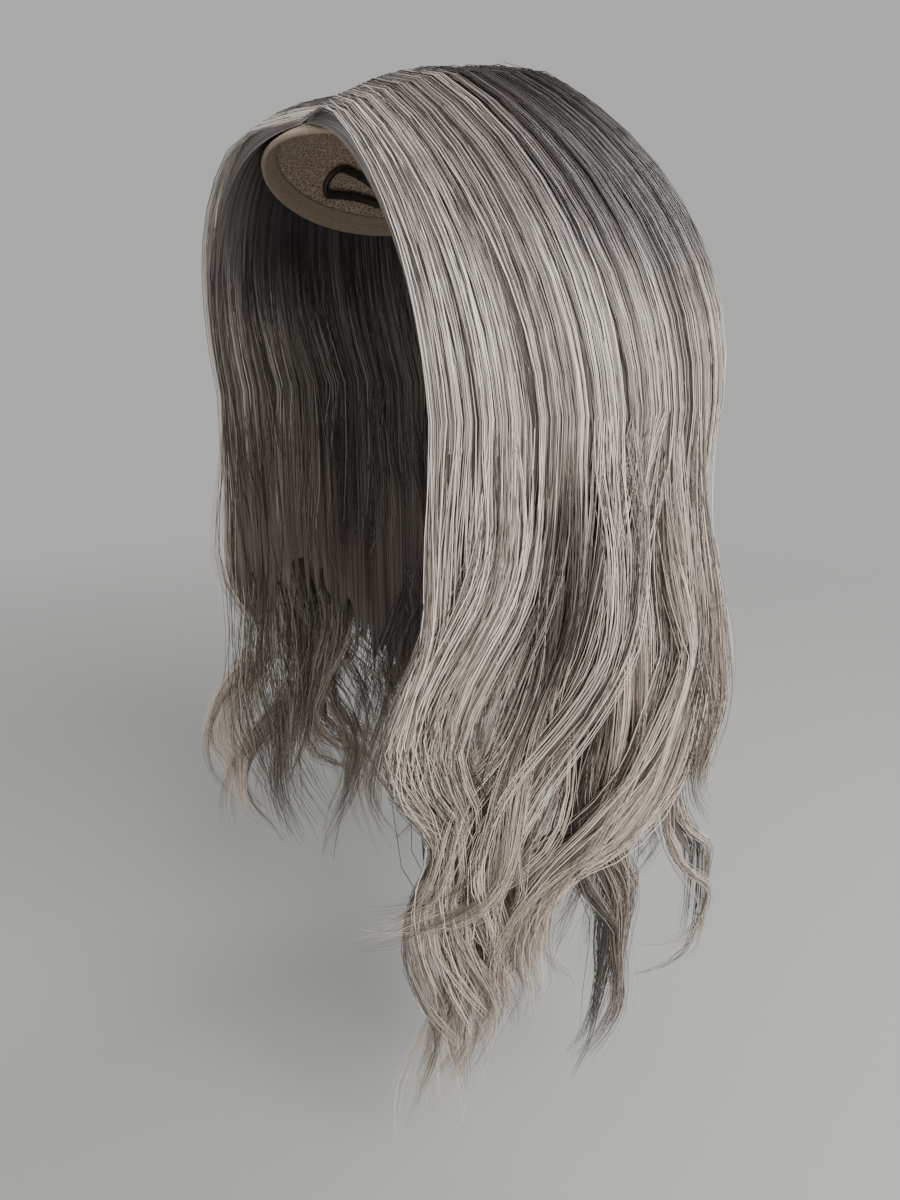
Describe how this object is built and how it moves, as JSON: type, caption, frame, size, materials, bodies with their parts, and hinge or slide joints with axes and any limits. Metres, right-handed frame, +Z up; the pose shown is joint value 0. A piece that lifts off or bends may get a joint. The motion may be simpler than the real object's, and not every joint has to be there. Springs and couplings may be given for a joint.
{
  "type": "hair topper",
  "caption": "Clip-in hair topper: a thin domed base with snap clips, and long waved grey hair falling to both sides of a centre parting.",
  "frame": {"origin": "top of the head under the base, where the topper sits", "axes": "+Z up, the face looks along -Y, the wearer's left is +X"},
  "size_m": [0.2505, 0.2276, 0.4166],
  "materials": {
    "lace_base": "beige lace and monofilament net",
    "hair": "ash grey hair with silver and cream streaks",
    "clip_steel": "satin brown lacquer on spring steel"
  },
  "bodies": {
    "root": {"base_cap": "lace_base", "hair_left": "hair", "hair_right": "hair", "clip_front": "clip_steel", "clip_left": "clip_steel", "clip_right": "clip_steel", "clip_back": "clip_steel"}
  },
  "joints": []
}
